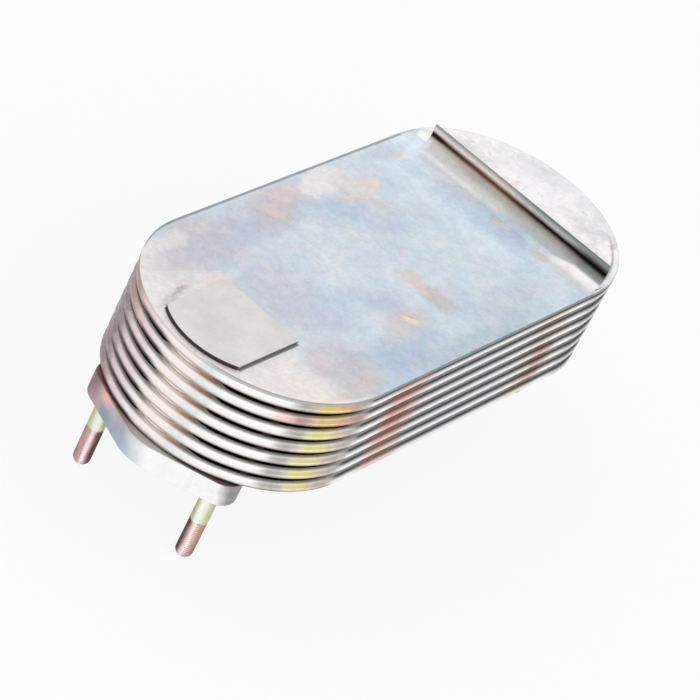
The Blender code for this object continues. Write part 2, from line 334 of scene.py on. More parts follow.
def lip_painted_shading(tree, height, y):
    """Painted reflections and shade: bands that run along the lip and change from its left end to
    its right.
    """
    wander = times(tree, minus(tree, noise(tree, y, 60, 3.0), 0.5), 0.0006)
    share = maths(tree, "DIVIDE", plus(tree, height, wander), LIP_RISE)
    heights, *tones = list(zip(*LIP_PAINTED_BANDS))[1:]
    levels = [level / 1000 / LIP_RISE for level in heights]
    left, middle, right = (ramp(tree, share, list(zip(levels, tone))) for tone in tones)
    colour = blend(tree, ease(tree, y, 0.048, 0.020), left, middle)
    colour = blend(tree, ease(tree, y, 0.012, -0.028), colour, right)
    # Painted shade over the lip's right end, and a painted dark reflection line near each end
    painted_right_shade = times(tree, ease(tree, y, -0.036, -0.062), ease(tree, height, 0.0028, 0.0040))
    painted_right_shade = times(tree, painted_right_shade, ease(tree, height, 0.0134, 0.0124))
    colour = blend(tree, painted_right_shade, colour, (198, 206, 208), "MULTIPLY")
    painted_right_dark_line = times(tree, painted_right_shade, window(tree, height, 0.0092, 0.0012, 0.0022))
    painted_left_dark_line = times(tree, ease(tree, y, 0.048, 0.055),
                      window(tree, height, 0.0084, 0.0008, 0.0009))
    painted_dark_ends = times(tree, larger(tree, painted_right_dark_line, painted_left_dark_line), 0.7)
    return blend(tree, painted_dark_ends, colour, (8, 10, 10))


def pad_painted_shadow(tree, x, y, colour):
    """Painted shadow on the cover along the pad's round end and its right side."""
    past = minus(tree, x, PAD_LOW.x + PAD_NOSE_RADIUS)
    squares = plus(tree, times(tree, past, past), times(tree, y, y))
    out = minus(tree, maths(tree, "SQRT", squares), PAD_NOSE_RADIUS)
    nose = times(tree, ease(tree, out, 0.0009, 0.0005),
                 ease(tree, x, PAD_LOW.x + 0.016, PAD_LOW.x + 0.014))
    nose = times(tree, nose, window(tree, y, 0.0, PAD_HIGH.y - 0.0004, 0.0006))
    colour = blend(tree, times(tree, nose, 0.85), colour, (74, 62, 56))
    corner = PAD_LOW.x + PAD_CORNER_RUN
    side = times(tree, window(tree, y, PAD_LOW.y, 0.0012, 0.0004),
                 window(tree, x, (corner + PAD_HIGH.x) / 2, (PAD_HIGH.x - corner) / 2, 0.0006))
    return blend(tree, times(tree, side, 0.9), colour, (136, 142, 140))


def cover_plating():
    made, tree, shader, place = material("cover_plating_zinc")
    x, y, z = split(tree, place)
    colour = ramp(tree, ease(tree, noise(tree, place, 16), 0.3, 0.7), [
        (0.0, (190, 203, 222)), (0.35, (203, 216, 229)), (0.65, (211, 222, 231)),
        (1.0, (220, 226, 230))])
    cloud = warped(tree, warped(tree, place, 34, 0.020), 150, 0.006)
    colour = clouds_over(tree, cloud, colour, COVER_CLOUDS)
    colour = blend(tree, 0.12, colour, noise(tree, cloud, 60, 4.0, 0.6, colour=True), "OVERLAY")
    veins = ease(tree, noise(tree, cloud, 55, 5.0, 0.65), 0.5, 0.72)
    colour = blend(tree, times(tree, veins, 0.35), colour, (228, 222, 222))
    # Painted light: the plate lightened towards the lip, making up for the shade that the lip casts
    # on it
    lip_painted_light = plus(tree, ease(tree, x, 0.052, 0.078, 0.0, 0.14),
                  ease(tree, x, 0.080, 0.092, 0.0, 0.1))
    height = minus(tree, z, COVER_TOP)
    lip_painted_light = times(tree, lip_painted_light, ease(tree, height, 0.0004, 0.00005))
    colour = scaled(tree, colour, plus(tree, lip_painted_light, 1.0))
    colour = clouds_over(tree, cloud, colour, LIP_PAINTED_SHINE_AND_TINTS)
    colour = clouds_over(tree, warped(tree, place, 150, 0.003), colour, SMALL_MARKS)
    colour = pad_painted_shadow(tree, x, y, colour)
    edge = inset(tree, x, y)
    way = along_edge(tree, x, y)
    fringe = times(tree, ease(tree, edge, 0.0040, 0.0016), window(tree, way, 0.03, 0.07, 0.02))
    colour = blend(tree, times(tree, fringe, 0.8), colour, (240, 232, 229))
    # Painted shade: a dark line along the cover's rounded edge, fainter round the near end's back
    broken = window(tree, way, -0.034, 0.038, 0.018)
    inner = times(tree, ease(tree, way, -0.09, -0.12), 0.0009)
    outline = ease(tree, minus(tree, edge, inner), 0.0013, 0.0004)
    outline = larger(tree, times(tree, outline, minus(tree, 0.7, broken)), 0.0)
    painted_edge_shade = blend(tree, ease(tree, way, 0.10, 0.18), (122, 126, 128), (96, 106, 110))
    colour = blend(tree, outline, colour, painted_edge_shade)
    lip_foot = ease(tree, y, -0.040, -0.056, 0.0004, 0.0022)
    on_lip = ease(tree, minus(tree, height, lip_foot), 0.0, 0.0012)
    colour = blend(tree, on_lip, colour, lip_painted_shading(tree, height, y))
    lip_corner = times(tree, window(tree, height, 0.0026, 0.0020, 0.0016),
                       times(tree, ease(tree, y, 0.0555, 0.0585), ease(tree, x, 0.100, 0.103)))
    colour = blend(tree, times(tree, lip_corner, 0.8), colour, (222, 227, 234))
    side = times(tree, ease(tree, height, -0.0002, -0.0003), ease(tree, edge, 0.0008, 0.0002))
    way_share = maths(tree, "DIVIDE", minus(tree, way, SIDE_START), SIDE_LENGTH)
    colour = blend(tree, side, colour, ramp(tree, way_share, COVER_EDGE_PAINTED_SHADE))
    plate_texture(tree, shader, place, colour)
    finish_shader(shader, 0.45, 0.4, 0.05)
    return made


def end_plating():
    made, tree, shader, place = material("end_plating_zinc")
    x, y, z = split(tree, place)
    cloud = warped(tree, place, 30, 0.02)
    colour = ramp(tree, ease(tree, noise(tree, cloud, 42, 5.0, 0.6), 0.3, 0.7), [
        (0.0, (222, 222, 225)), (0.4, (238, 236, 238)), (0.7, (247, 244, 246)),
        (1.0, (252, 244, 244))])
    colour = clouds_over(tree, cloud, colour, END_CLOUDS)
    colour = clouds_over(tree, warped(tree, place, 150, 0.003), colour, SMALL_MARKS)
    edge = inset(tree, x, y)
    # Painted shade: a soft dark line 4 mm in from the edge on the right side, and a slight
    # darkening at the edge
    right_side = ease(tree, y, -0.036, -0.062)
    line = times(tree, window(tree, edge, 0.0042, 0.0003, 0.0009), right_side)
    colour = blend(tree, times(tree, line, 0.6), colour, (140, 132, 130))
    outline = times(tree, ease(tree, edge, 0.0009, 0.0003), 0.3)
    colour = blend(tree, outline, colour, (150, 148, 148))
    side = ease(tree, minus(tree, z, COVER_TOP), -0.0002, -0.0003)
    shadow = window(tree, along_edge(tree, x, y), 0.352, 0.018, 0.012)
    side_tone = blend(tree, shadow, (116, 112, 110), (14, 14, 14))
    colour = blend(tree, side, colour, side_tone)
    specks = times(tree, ease(tree, noise(tree, place, 190, 4.0, 0.7), 0.56, 0.70), 0.3)
    colour = blend(tree, specks, colour, (186, 180, 180))
    plate_texture(tree, shader, place, colour)
    finish_shader(shader, 0.45, 0.4, 0.1)
    return made


def pad_plating():
    made, tree, shader, place = material("pad_plating_zinc")
    y, z = split(tree, place)[1:]
    colour = ramp(tree, ease(tree, noise(tree, place, 45), 0.3, 0.7), [
        (0.0, (216, 213, 212)), (0.5, (222, 218, 217)), (1.0, (227, 223, 221))])
    # Painted shade on the pad's sides: dark brown round its nose and left, grey along its right
    # side
    side = ease(tree, minus(tree, z, PAD_HIGH.z), -0.0003, -0.0005)
    right_side = ease(tree, y, PAD_LOW.y + 0.0006, PAD_LOW.y + 0.0002)
    colour = blend(tree, side, colour, blend(tree, right_side, (78, 66, 60), (126, 132, 130)))
    plate_texture(tree, shader, place, colour, 0.05, chroma=0.12)
    finish_shader(shader, 0.45, 0.45, 0.2)
    return made


def shell_plating():
    """Bright ribs with painted shade and highlights, tints that change round the outline, and water
    gaps painted dark as shade between them.
    """
    made, tree, shader, place = material("shell_plating_zinc")
    x, y, z = split(tree, place)
    wander = times(tree, minus(tree, noise(tree, place, 70, 3.0), 0.5), 0.014)
    way = plus(tree, along_edge(tree, x, y), wander)
    turns = maths(tree, "DIVIDE", minus(tree, z, CORE_BOTTOM), PITCH)
    level = times(tree, maths(tree, "FRACT", turns), PITCH / ELEMENT_HEIGHT)
    row = maths(tree, "FLOOR", turns)
    edge = inset(tree, x, y)
    near = ramp(tree, level, NEAR_PAINTED_SHADING)
    lowered = plus(tree, level, ease(tree, z, TOP_BOX[0].z - 0.001, TOP_BOX[0].z, 0.0, 0.07))
    long_side = ramp(tree, lowered, LONG_SIDE_PAINTED_SHADING)
    by_side = ease(tree, maths(tree, "ABSOLUTE", way), 0.104, 0.118)
    colour = blend(tree, by_side, near, long_side)
    at_back = times(tree, ease(tree, way, -0.006, -0.018), ease(tree, way, -0.400, -0.330))
    colour = blend(tree, at_back, colour, ramp(tree, level, BACK_PAINTED_SHADING))
    flat = times(tree, ease(tree, way, -0.038, -0.060), ease(tree, way, -0.160, -0.110))
    colour = blend(tree, flat, colour, (216, 208, 210))
    # Painted shade deep in the water gaps, starting further in by the spacers and along the sides;
    # lighter under the cover, with painted light under the lip's hole
    by_spacer = window(tree, way, 0.006, 0.013, 0.012)
    start = maths(tree, "MULTIPLY_ADD", larger(tree, by_side, by_spacer), 0.003, 0.0026)
    painted_gap_shade = ease(tree, minus(tree, edge, start), 0.0, 0.001)
    under_cover = ease(tree, z, TOP_BOX[1].z - 0.0004, TOP_BOX[1].z - 0.0002)
    hole_painted_light = times(tree, under_cover, window(tree, x, 0.104, 0.008, 0.002))
    painted_gap_tone = blend(tree, under_cover, (12, 10, 10), (150, 146, 144))
    painted_gap_tone = blend(tree, hole_painted_light, painted_gap_tone, (250, 246, 244))
    colour = blend(tree, painted_gap_shade, colour, painted_gap_tone)
    breaks = ease(tree, noise(tree, place, 240), 0.32, 0.6, 0.75, 1.0)
    waist = window(tree, level, 0.52, 0.24, 0.26)
    breaks = times(tree, breaks, maths(tree, "MULTIPLY_ADD", waist, 0.35, 0.65))
    both_ways = maths(tree, "ABSOLUTE", way)
    for entry in RIB_TINTS:
        middle, half, soft, tint, amount, mode, *rows = entry[1:]
        along = both_ways if middle > MIRRORED_FROM else way
        mask = times(tree, window(tree, along, middle / 1000, half / 1000, soft / 1000), amount)
        mask = times(tree, mask, breaks)
        for middle_row, half_rows in rows:
            mask = times(tree, mask, window(tree, row, middle_row, half_rows, 0.6))
        colour = blend(tree, mask, colour, tint, mode)
    belt = times(tree, window(tree, level, 0.70, 0.08, 0.16),
                 window(tree, way, 0.086, 0.016, 0.010))
    colour = blend(tree, times(tree, belt, 0.9), colour, (222, 216, 208), "MULTIPLY")
    gap = larger(tree, ease(tree, edge, 0.0012, 0.0028), ease(tree, level, 0.26, 0.06))
    for entry in GROOVE_TINTS:
        middle, half, soft, tint, amount = entry[1:]
        mask = times(tree, window(tree, way, middle / 1000, half / 1000, soft / 1000), amount)
        colour = blend(tree, times(tree, mask, gap), colour, tint)
    seam_half = ease(tree, way, 0.004, 0.010, 0.0004, 0.0008)
    seam = times(tree, window(tree, edge, 0.0031, seam_half, 0.0007),
                 window(tree, way, 0.009, 0.011, 0.006))
    seam_tone = blend(tree, ease(tree, way, 0.006, 0.014), (255, 236, 228), (255, 192, 144))
    colour = blend(tree, times(tree, seam, 0.9), colour, seam_tone)
    plate_texture(tree, shader, place, colour, 0.05, chroma=0.12)
    finish_shader(shader, 0.35, 0.34, 0.12)
    return made


def plain_steel(name, dark, light, roughness, metallic=0.6):
    made, tree, shader, place = material(name)
    mottle = ease(tree, noise(tree, place, 90, 5.0, 0.6), 0.3, 0.7)
    colour = ramp(tree, mottle, [(0.0, dark), (1.0, light)])
    plate_texture(tree, shader, place, colour, 0.06)
    finish_shader(shader, metallic, roughness)
    return made


def flange_plating():
    made, tree, shader, place = material("flange_plating_zinc")
    x, y, z = split(tree, place)
    cloud = warped(tree, place, 60, 0.008)
    cloud_y, cloud_z = split(tree, cloud)[1:]
    across = maths(tree, "DIVIDE", plus(tree, cloud_y, FLANGE_REACH), 2 * FLANGE_REACH)
    upper = ramp(tree, across, FLANGE_UPPER)
    lower = ramp(tree, across, FLANGE_LOWER)
    rise = minus(tree, cloud_z, FLANGE_BOTTOM)
    colour = blend(tree, ease(tree, rise, 0.004, 0.011), lower, upper)
    mottle = ease(tree, noise(tree, place, 160, 5.0, 0.65), 0.45, 0.75)
    colour = blend(tree, times(tree, mottle, 0.15), colour, (204, 206, 212))
    top = ease(tree, minus(tree, z, FLANGE_BOTTOM + FLANGE_THICKNESS), -0.0006, -0.0002)
    top_colour = ramp(tree, across, FLANGE_TOP)
    shaded = ease(tree, inset(tree, x, y), -0.0006, 0.0008)
    top_colour = blend(tree, times(tree, shaded, 0.6), top_colour, (50, 38, 34))
    colour = blend(tree, top, colour, top_colour)
    plate_texture(tree, shader, place, colour, 0.05, 0.00006, chroma=0.3)
    finish_shader(shader, 0.35, 0.45, 0.2)
    return made


def stud_plating():
    """Chromated steel with streaks down its length, a painted highlight and painted dark edges:
    pale on the shank and rose on the thread.
    """
    made, tree, shader, place = material("stud_plating_chromate")
    x, y, z = split(tree, place)
    from_axis = minus(tree, maths(tree, "ABSOLUTE", x), PORT_X)
    side = times(tree, maths(tree, "SIGN", x), from_axis)
    offset = minus(tree, maths(tree, "ABSOLUTE", y), STUD_Y)
    hand = times(tree, maths(tree, "SIGN", y), offset)
    turn = maths(tree, "ARCTAN2", hand, side)
    across = maths(tree, "SINE", minus(tree, turn, FACING_TURN))
    across = times(tree, across, maths(tree, "SIGN", y))
    streak = noise(tree, place, 260, 4.0, 0.6, stretch=(1.0, 1.0, 0.25))
    painted_sheen_and_streaks = maths(tree, "MULTIPLY_ADD", across, 0.5, maths(tree, "MULTIPLY_ADD", streak, 0.3, 0.35))
    shank = ramp(tree, painted_sheen_and_streaks, [
        (0.0, (178, 178, 120)), (0.15, (200, 203, 144)), (0.40, (240, 242, 226)),
        (0.52, (255, 255, 255)), (0.68, (250, 251, 240)), (0.85, (204, 207, 146)),
        (1.0, (164, 164, 104))])
    thread = ramp(tree, painted_sheen_and_streaks, [
        (0.0, (150, 116, 104)), (0.15, (192, 156, 146)), (0.38, (206, 174, 170)),
        (0.52, (252, 242, 242)), (0.66, (236, 212, 214)), (0.80, (162, 124, 122)),
        (0.90, (98, 68, 64)), (1.0, (94, 66, 58))])
    level = maths(tree, "MULTIPLY_ADD", minus(tree, streak, 0.5), 0.004, z)
    colour = blend(tree, ease(tree, level, THREAD_END - 0.0006, THREAD_END + 0.0006), thread, shank)
    colour = blend(tree, ease(tree, z, 0.0024, 0.0010, 0.0, 0.75), colour, (224, 216, 214))
    plate_texture(tree, shader, place, colour, 0.06, chroma=0.3)
    finish_shader(shader, 0.5, 0.3)
    return made


# Clouds in the plating, in millimetres from the middle of the core: name, colour, x, y, half
# length, half width, turn, softness, amount
COVER_CLOUDS = [
    ("near end haze", (236, 230, 228), -158, 0, 42, 95, 0, 0.25, 0.9),
    ("upper near haze", (201, 196, 208), -100, 51, 44, 15, 4, 0.5, 0.85),
    ("blue under haze", (186, 199, 222), -58, 50, 26, 10, 6, 0.6, 0.7),
    ("lilac middle", (200, 203, 217), -94, 4, 26, 24, -20, 0.6, 0.85),
    ("lower lilac", (197, 194, 202), -104, -50, 22, 19, 0, 0.5, 0.8),
    ("lower cream", (236, 226, 225), -142, -52, 24, 16, -25, 0.5, 0.8),
    ("low blue", (178, 194, 217), -58, -57, 34, 13, 0, 0.6, 0.85),
    ("low edge blue", (182, 196, 210), -4, -70, 60, 7, 0, 0.5, 0.8),
    ("mid blue", (192, 205, 224), -55, -12, 26, 9, 0, 0.7, 0.6),
    ("blue under", (184, 194, 218), -36, -24, 13, 8, -10, 0.6, 0.7),
    ("low beige", (212, 203, 192), -110, -66, 18, 6, 0, 0.5, 0.7),
    ("pale middle", (217, 223, 229), -22, 22, 36, 14, -6, 0.6, 0.7),
    ("corner cream", (230, 224, 223), -120, 64, 12, 6, 0, 0.5, 0.8),
    ("edge beige", (212, 202, 202), -98, 68, 16, 5, 0, 0.5, 0.7),
    ("upper peach edge", (204, 190, 196), -30, 61, 26, 12, 0, 0.5, 0.8),
    ("peach edge shade", (198, 190, 204), -44, 48, 14, 8, 8, 0.5, 0.6),
    ("upper peach", (218, 200, 195), -36, 57, 7, 7, 0, 0.5, 0.8),
    ("upper blue", (190, 203, 224), -8, 47, 20, 9, -8, 0.6, 0.7),
    ("upper cream", (236, 230, 230), 12, 65, 22, 9, 0, 0.25, 0.9),
    ("cream tongue", (222, 218, 216), 30, 54, 16, 9, -35, 0.25, 0.85),
    ("tongue tip", (232, 218, 210), 42, 52, 6, 7, -30, 0.4, 0.7),
    ("tongue fringe", (214, 204, 200), 20, 46, 9, 5, -20, 0.4, 0.7),
    ("peach drip", (216, 206, 206), 30, 38, 5, 7, 0, 0.5, 0.7),
    ("far lilac", (197, 204, 222), 24, 24, 16, 12, -30, 0.6, 0.6),
    ("far pale", (214, 224, 232), 58, -12, 38, 18, 0, 0.6, 0.6),
    ("far low grey", (199, 209, 218), 44, -56, 34, 12, 6, 0.6, 0.7),
    ("peach streak", (222, 206, 203), -4, -18, 7, 6, 0, 0.5, 0.8),
    ("brown streak", (197, 191, 192), -2, -36, 8, 10, 0, 0.45, 0.85),
    ("streak heart", (226, 208, 201), -5, -27, 4, 6, 0, 0.4, 0.8),
    ("rose fleck", (222, 210, 216), 6, -3, 7, 3, 40, 0.5, 0.7),
    ("orange spot edge", (205, 196, 200), -35, -40, 14, 10, 0, 0.5, 0.7),
    ("spot haze", (216, 204, 200), -34, -41, 8, 5, -40, 0.6, 0.7),
    ("spot tail", (212, 204, 208), -52, -44, 12, 6, 15, 0.5, 0.6),
    ("lip blue", (176, 194, 217), 90, -10, 12, 22, 0, 0.5, 0.75),
    ("lip lilac", (196, 196, 212), 90, 26, 7, 12, 0, 0.5, 0.7),
    ("corner peach", (223, 212, 208), 84, 63, 9, 5, 0, 0.5, 0.7),
    ("pad side cream", (234, 224, 222), -117, 30, 10, 5, -10, 0.5, 0.8),
    ("pad side rose", (222, 208, 213), -111, -42, 9, 6, 0, 0.5, 0.7),
    ("low rose", (210, 198, 202), -92, -54, 10, 7, 0, 0.8, 0.5),
    ("lilac light", (213, 213, 219), -84, 31, 12, 9, -10, 0.5, 0.6),
    ("far low pale", (215, 222, 229), 46, -36, 20, 9, 0, 0.6, 0.7),
    ("far edge grey", (190, 196, 208), 80, 68, 18, 6, 0, 0.5, 0.7),
    ("upper rose edge", (224, 208, 210), -16, 64, 10, 6, 0, 0.5, 0.6),
    # Painted shadow along the pad's left edge
    ("pad edge painted shadow", (190, 184, 192), -150, 30, 16, 2.5, 12, 0.8, 0.6),
    ("pad edge shadow heart", (160, 154, 164), -146, 31, 6, 1, 14, 0.8, 0.6),
]
# Painted highlights and plating tints close to the lip's foot, laid after the plate is brightened
# there
LIP_PAINTED_SHINE_AND_TINTS = [
    ("lip cream", (238, 238, 236), 102, 34, 5, 28, 0, 0.35, 0.85),
    ("lip cream yellow", (236, 233, 224), 101, 44, 2.5, 5, 20, 0.5, 0.6),
    ("lip cream lump", (224, 226, 228), 98, 22, 3, 6, 0, 0.4, 0.7),
    ("lip cream bay", (214, 216, 220), 99, 10, 3, 5, 0, 0.4, 0.7),
    ("lip right highlight", (255, 250, 251), 103, -57, 8, 16, 0, 0.3, 0.95),
    ("lip right highlight lump", (240, 222, 220), 95, -38, 4, 5, 30, 0.4, 0.7),
    ("lip blue spot", (232, 218, 206), 93, -6, 5, 2.5, 30, 0.4, 0.7),
    ("lip foot pale", (232, 229, 233), 102, 1, 3, 4, 0, 0.5, 0.7),
    ("lip foot spot", (236, 234, 236), 96, -11, 3, 2.5, 0, 0.5, 0.7),
]
# Marks that keep their place on the cover and the end plate: a painted highlight by the lip's left
# corner, and plating spots
SMALL_MARKS = [
    ("lip corner painted highlight", (255, 254, 252), 115.5, 65.8, 6.5, 4.6, 0, 0.35, 1.0),
    ("orange spot", (238, 219, 198), -33, -41, 5.0, 3.0, -59, 0.5, 0.85),
    ("spot brown edge", (196, 180, 174), -32, -38, 4.5, 1.1, -59, 0.6, 0.7),
]
# Clouds on the end plate
END_CLOUDS = [
    ("left corner blue", (206, 216, 226), 113, 70, 8, 12, 0, 0.4, 0.9),
    ("seam rose", (246, 234, 236), 128, -20, 10, 30, 0, 0.6, 0.6),
    ("seam grey", (232, 231, 236), 122, 0, 4, 60, 0, 0.5, 0.5),
    ("outer grey", (228, 230, 232), 172, 6, 12, 40, 0, 0.5, 0.4),
    ("bright heart", (253, 250, 253), 146, 6, 14, 24, 0, 0.6, 0.7),
    ("rose fleck", (244, 214, 214), 138, 14, 3, 2, 20, 0.6, 0.8),
    ("smoke mark", (176, 170, 168), 150, -52, 5, 1.5, 20, 0.6, 0.6),
]
# Painted shade on the cover's cut edge, lighter round the near end and darker along the side, by
# the share of its way round, which starts on the near end's back
SIDE_START = -0.06
SIDE_LENGTH = 0.4
COVER_EDGE_PAINTED_SHADE = [
    (0.0, (178, 156, 156)), (0.075, (222, 212, 214)), (0.16, (226, 222, 216)),
    (0.20, (190, 198, 202)), (0.375, (198, 185, 176)), (0.4125, (160, 160, 156)),
    (0.47, (128, 128, 126)), (1.0, (113, 119, 117)),
]
# Painted reflections and shade in bands up the lip: name, height in millimetres, shade at its left
# end, in its middle, at its right
LIP_PAINTED_BANDS = [
    ("foot", 1.8, (204, 206, 212), (214, 211, 207), (185, 187, 193)),
    ("lower face", 4.2, (201, 197, 189), (182, 178, 173), (179, 178, 171)),
    ("turning under", 6.2, (184, 170, 156), (179, 163, 152), (152, 147, 141)),
    ("line foot", 7.7, (90, 66, 52), (108, 80, 70), (70, 62, 60)),
    ("dark line", 8.3, (58, 36, 24), (88, 60, 48), (14, 6, 6)),
    ("line head", 9.0, (84, 62, 54), (108, 84, 68), (32, 22, 20)),
    ("bright band", 11.0, (250, 228, 224), (249, 231, 219), (208, 199, 193)),
    ("upper face", 12.4, (222, 210, 206), (214, 207, 200), (180, 181, 175)),
    ("top edge", 14.0, (150, 155, 152), (158, 157, 156), (120, 130, 128)),
]
# Painted shade and highlights on a rib by the share of its height: round the near end, along the
# side and at the back
NEAR_PAINTED_SHADING = [
    (0.0, (36, 32, 30)), (0.10, (80, 74, 70)), (0.17, (140, 130, 124)), (0.30, (222, 212, 206)),
    (0.44, (250, 247, 245)), (0.92, (251, 250, 249)), (1.0, (236, 232, 228)),
]
LONG_SIDE_PAINTED_SHADING = [
    (0.0, (200, 198, 198)), (0.15, (226, 224, 224)), (0.30, (252, 250, 250)),
    (0.50, (255, 253, 254)), (0.64, (230, 227, 227)), (0.76, (176, 174, 174)), (0.86, (96, 98, 98)),
    (0.92, (62, 68, 68)), (0.965, (124, 128, 128)), (0.985, (212, 210, 210)),
    (1.0, (255, 253, 253)),
]
BACK_PAINTED_SHADING = [
    (0.0, (40, 36, 36)), (0.09, (18, 16, 16)), (0.20, (24, 22, 22)), (0.31, (66, 62, 62)),
    (0.47, (186, 176, 178)), (0.62, (242, 230, 232)), (0.78, (250, 238, 240)),
    (1.0, (255, 250, 250)),
]
# Tints of the ribs by their place round the outline: name, middle, half width and softness in
# millimetres, colour, amount, how it is laid and, unless it is on every row, the middle row (0 is
# the lowest) and half the rows. Those past MIRRORED_FROM show on both sides
MIRRORED_FROM = 120
RIB_TINTS = [
    ("back grey", -88, 16, 44, (180, 168, 172), 0.95, "MULTIPLY"),
    ("back peach", -50, 9, 11, (236, 204, 190), 0.6, "MIX", (5.5, 0.9)),
    ("near lilac", -54, 6, 12, (210, 194, 194), 0.9, "MULTIPLY"),
    ("near rose", -30, 5, 9, (240, 226, 226), 0.8, "MULTIPLY"),
    ("end warm", 0, 8, 8, (255, 246, 242), 0.9, "MULTIPLY"),
    ("end blue", 17, 2, 8, (228, 235, 241), 0.8, "MULTIPLY"),
    ("grey before yellow", 71, 1, 9, (204, 202, 198), 0.95, "MULTIPLY"),
    ("yellow", 87, 3, 10, (255, 250, 178), 1.0, "MULTIPLY"),
    ("orange", 97, 1, 6, (242, 220, 190), 0.7, "MULTIPLY"),
    ("grey after yellow", 106, 1, 9, (198, 188, 180), 0.9, "MULTIPLY"),
    ("rose row", 84, 22, 14, (252, 212, 204), 0.85, "MULTIPLY", (5, 0.4)),
    ("top row orange", 90, 8, 12, (255, 232, 200), 0.8, "MULTIPLY", (6, 0.4)),
    ("peach wash", 151, 9, 14, (214, 168, 150), 0.34, "MIX"),
    ("peach", 151, 8, 14, (255, 232, 224), 1.0, "MULTIPLY"),
    ("peach heart", 147, 3, 9, (244, 196, 184), 0.75, "MULTIPLY", (3.5, 1.2)),
    ("pale side", 225, 50, 30, (244, 243, 246), 0.9, "MULTIPLY"),
    ("far cream", 286, 6, 16, (255, 238, 222), 1.0, "MULTIPLY"),
    ("far rose", 291, 3, 9, (228, 180, 170), 0.8, "MULTIPLY", (2, 0.9)),
    ("far grey", 332, 6, 14, (212, 208, 210), 0.9, "MULTIPLY"),
]
# What shows in the grooves between the ribs, over their painted shade, the first being painted
# light by the near end: name, middle, half width, softness, colour, amount
GROOVE_TINTS = [
    ("spacer glow", 6, 11, 8, (255, 247, 244), 0.97),
    ("brown break", 59, 1, 3, (150, 128, 112), 0.6),
    ("rose brown", 150, 10, 10, (124, 84, 74), 0.6),
    ("far brown", 288, 8, 10, (116, 92, 84), 0.5),
]
# Colours across the flange's edge from its right ear to its left, upper half and lower half:
# plating tints, with a painted highlight from the right ear to the middle and painted shade at the
# ear ends
FLANGE_UPPER = [
    (0.0, (130, 128, 126)), (0.05, (252, 250, 250)), (0.42, (255, 255, 255)),
    (0.60, (172, 180, 194)), (0.72, (200, 182, 194)), (0.80, (252, 192, 186)),
    (0.88, (158, 148, 144)), (1.0, (112, 76, 72)),
]
FLANGE_LOWER = [
    (0.0, (150, 150, 150)), (0.05, (252, 251, 251)), (0.40, (255, 255, 255)),
    (0.56, (180, 190, 206)), (0.78, (148, 160, 174)), (0.86, (188, 172, 182)),
    (0.94, (182, 144, 146)), (1.0, (108, 84, 86)),
]
# Colours across the flange's top, right ear to left ear: painted shade under the stack, with
# plating tints
FLANGE_TOP = [
    (0.0, (94, 80, 74)), (0.2, (128, 120, 114)), (0.4, (200, 194, 190)), (0.55, (186, 178, 180)),
    (0.70, (190, 152, 150)), (0.80, (194, 142, 134)), (0.90, (160, 112, 110)), (1.0, (140, 98, 92)),
]


# Shapes


def stadium(radius):
    """Counter-clockwise outline with full round ends about the core's end centres."""
    points = []
    for side in (1, -1):
        for step in range(ARC_STEPS + 1):
            turn = math.pi * (step / ARC_STEPS - 0.5)
            points.append((side * (END_ARC_X + radius * math.cos(turn)),
                           side * radius * math.sin(turn)))
    return points


def keep_side(points, limit, side):
    """Part of a convex outline on one side of the line x = limit, +1 for beyond it."""
    kept = []
    for (x0, y0), (x1, y1) in zip(points, points[1:] + points[:1]):
        if side * (x0 - limit) >= 0:
            kept.append((x0, y0))
        if (x0 - limit) * (x1 - limit) < 0:
            share = (limit - x0) / (x1 - x0)
            kept.append((limit, y0 + share * (y1 - y0)))
    return kept


def prism(points, bottom, top):
    """Upright solid between two levels over a flat outline."""
    bm = bmesh.new()
    base = bm.faces.new([bm.verts.new((x, y, bottom)) for x, y in points])
    grown = bmesh.ops.extrude_face_region(bm, geom=[base])
    raised = [item for item in grown["geom"] if isinstance(item, bmesh.types.BMVert)]
    bmesh.ops.translate(bm, verts=raised, vec=(0, 0, top - bottom))
    bmesh.ops.recalc_face_normals(bm, faces=bm.faces)
    return bm


def add_item(name, data):
    item = bpy.data.objects.new(name, data)
    bpy.context.scene.collection.objects.link(item)
    return item


def item_of(bm, name):
    mesh = bpy.data.meshes.new(name)
    bm.to_mesh(mesh)
    bm.free()
    return add_item(name, mesh)


def column(name, radius, bottom, top, x, y):
    """Upright round tool that cuts a bore or adds a boss."""
    bm = bmesh.new()
    bmesh.ops.create_cone(bm, cap_ends=True, segments=ROUND_STEPS, radius1=radius, radius2=radius,
                          depth=top - bottom)
    bmesh.ops.translate(bm, verts=bm.verts, vec=(x, y, (top + bottom) / 2))
    return item_of(bm, name)


def shape_with(item, tool, operation="DIFFERENCE"):
    step = item.modifiers.new(operation.lower(), "BOOLEAN")
    step.operation = operation
    step.solver = "EXACT"
    step.object = tool


def settle(item, tools=()):
    """Apply the modifiers and remove the tools, then shade round stretches smooth."""
    bpy.context.view_layer.update()
    shown = item.evaluated_get(bpy.context.evaluated_depsgraph_get())
    mesh = bpy.data.meshes.new_from_object(shown)
    item.modifiers.clear()
    item.data = mesh
    for tool in tools:
        bpy.data.objects.remove(tool)
    mesh.shade_smooth()
    mesh.set_sharp_from_angle(angle=math.radians(SHARP_ANGLE))
    return item


def coat(item, finish):
    item.data.materials.clear()
    item.data.materials.append(finish)


def dress(item, finish, slot, *nodes):
    """Give a settled piece its plating and its body, and hide the CAD nodes that it stands for."""
    coat(item, finish)
    smooth = item.modifiers.new("face_normals", "WEIGHTED_NORMAL")
    smooth.keep_sharp = True
    smooth.weight = 100
    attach(item, "root")
    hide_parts(*nodes)


